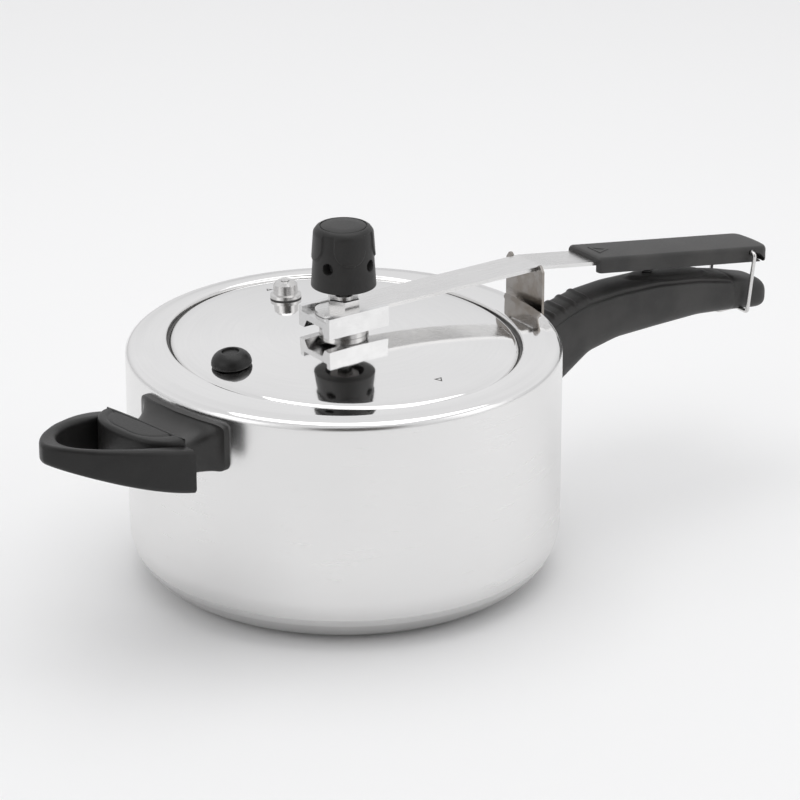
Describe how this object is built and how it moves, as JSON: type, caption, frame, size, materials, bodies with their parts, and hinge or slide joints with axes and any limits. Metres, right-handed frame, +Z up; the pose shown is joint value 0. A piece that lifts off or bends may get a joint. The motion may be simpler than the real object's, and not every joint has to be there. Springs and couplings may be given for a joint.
{
  "type": "stovetop pressure cooker",
  "caption": "Stovetop pressure cooker: aluminium pot, inner oval lid on a steel lever, wire bail latch, weight regulator and black handles.",
  "frame": {"origin": "centre of the flat base", "axes": "+Z up, +X along the main handle, helper handle towards -X"},
  "size_m": [0.4629, 0.22, 0.1826],
  "materials": {
    "polished_aluminium": "polished shoulder and lid, satin side",
    "extruded_aluminium": "bright extrusion",
    "stainless": "brushed",
    "brass": "machined",
    "phenolic": "matte black, finely textured",
    "black_rubber": "matte",
    "seal_rubber": "matte grey"
  },
  "bodies": {
    "pot": {"pot_body": "polished_aluminium", "handle_pad": "polished_aluminium", "fulcrum_plate": "stainless", "main_handle": "phenolic", "handle_inserts": "brass", "handle_studs": "stainless", "bail_keeper": "stainless", "keeper_screws": "stainless", "helper_saddle": "phenolic", "helper_handle": "phenolic", "helper_screw": "stainless"},
    "lid": {"lid_plate": "polished_aluminium", "lid_gasket": "seal_rubber", "boss_washer": "extruded_aluminium", "bridge": "extruded_aluminium", "lever_arm": "stainless", "lid_handle": "phenolic", "handle_rivets": "stainless", "vent_tube": "stainless", "vent_seal": "seal_rubber", "clamp_nut": "stainless", "valve_body": "stainless", "valve_spring": "stainless", "valve_nut": "stainless", "valve_seal": "seal_rubber", "safety_plug": "black_rubber"},
    "weight": {"weight_cap": "phenolic", "weight_core": "brass", "weight_disc": "phenolic"},
    "valve_stem": {"valve_pin": "stainless"},
    "bail": {"bail": "stainless"}
  },
  "joints": [
    {"name": "lever_lift", "type": "hinge", "parent": "pot", "child": "lid", "pos_m": [0.1134, 0, 0.13615], "axis": [0, -1, 0], "range_deg": [0, 6]},
    {"name": "bail_swing", "type": "hinge", "parent": "pot", "child": "bail", "pos_m": [0.25, 0, 0.0864], "axis": [0, 1, 0], "range_deg": [0, 72]},
    {"name": "weight_lift", "type": "slide", "parent": "lid", "child": "weight", "axis": [0, 0, 1], "range_m": [0, 0.03]},
    {"name": "valve_pop", "type": "slide", "parent": "lid", "child": "valve_stem", "axis": [0.0067, 0.0672, 0.9977], "range_m": [0, 0.002], "stiffness_N_per_m": 600, "springref_m": -0.0005, "deforming": ["valve_spring"]}
  ],
  "couplings": [
    {"joint": "bail_swing", "follows": "lever_lift", "ratio": 12}
  ]
}
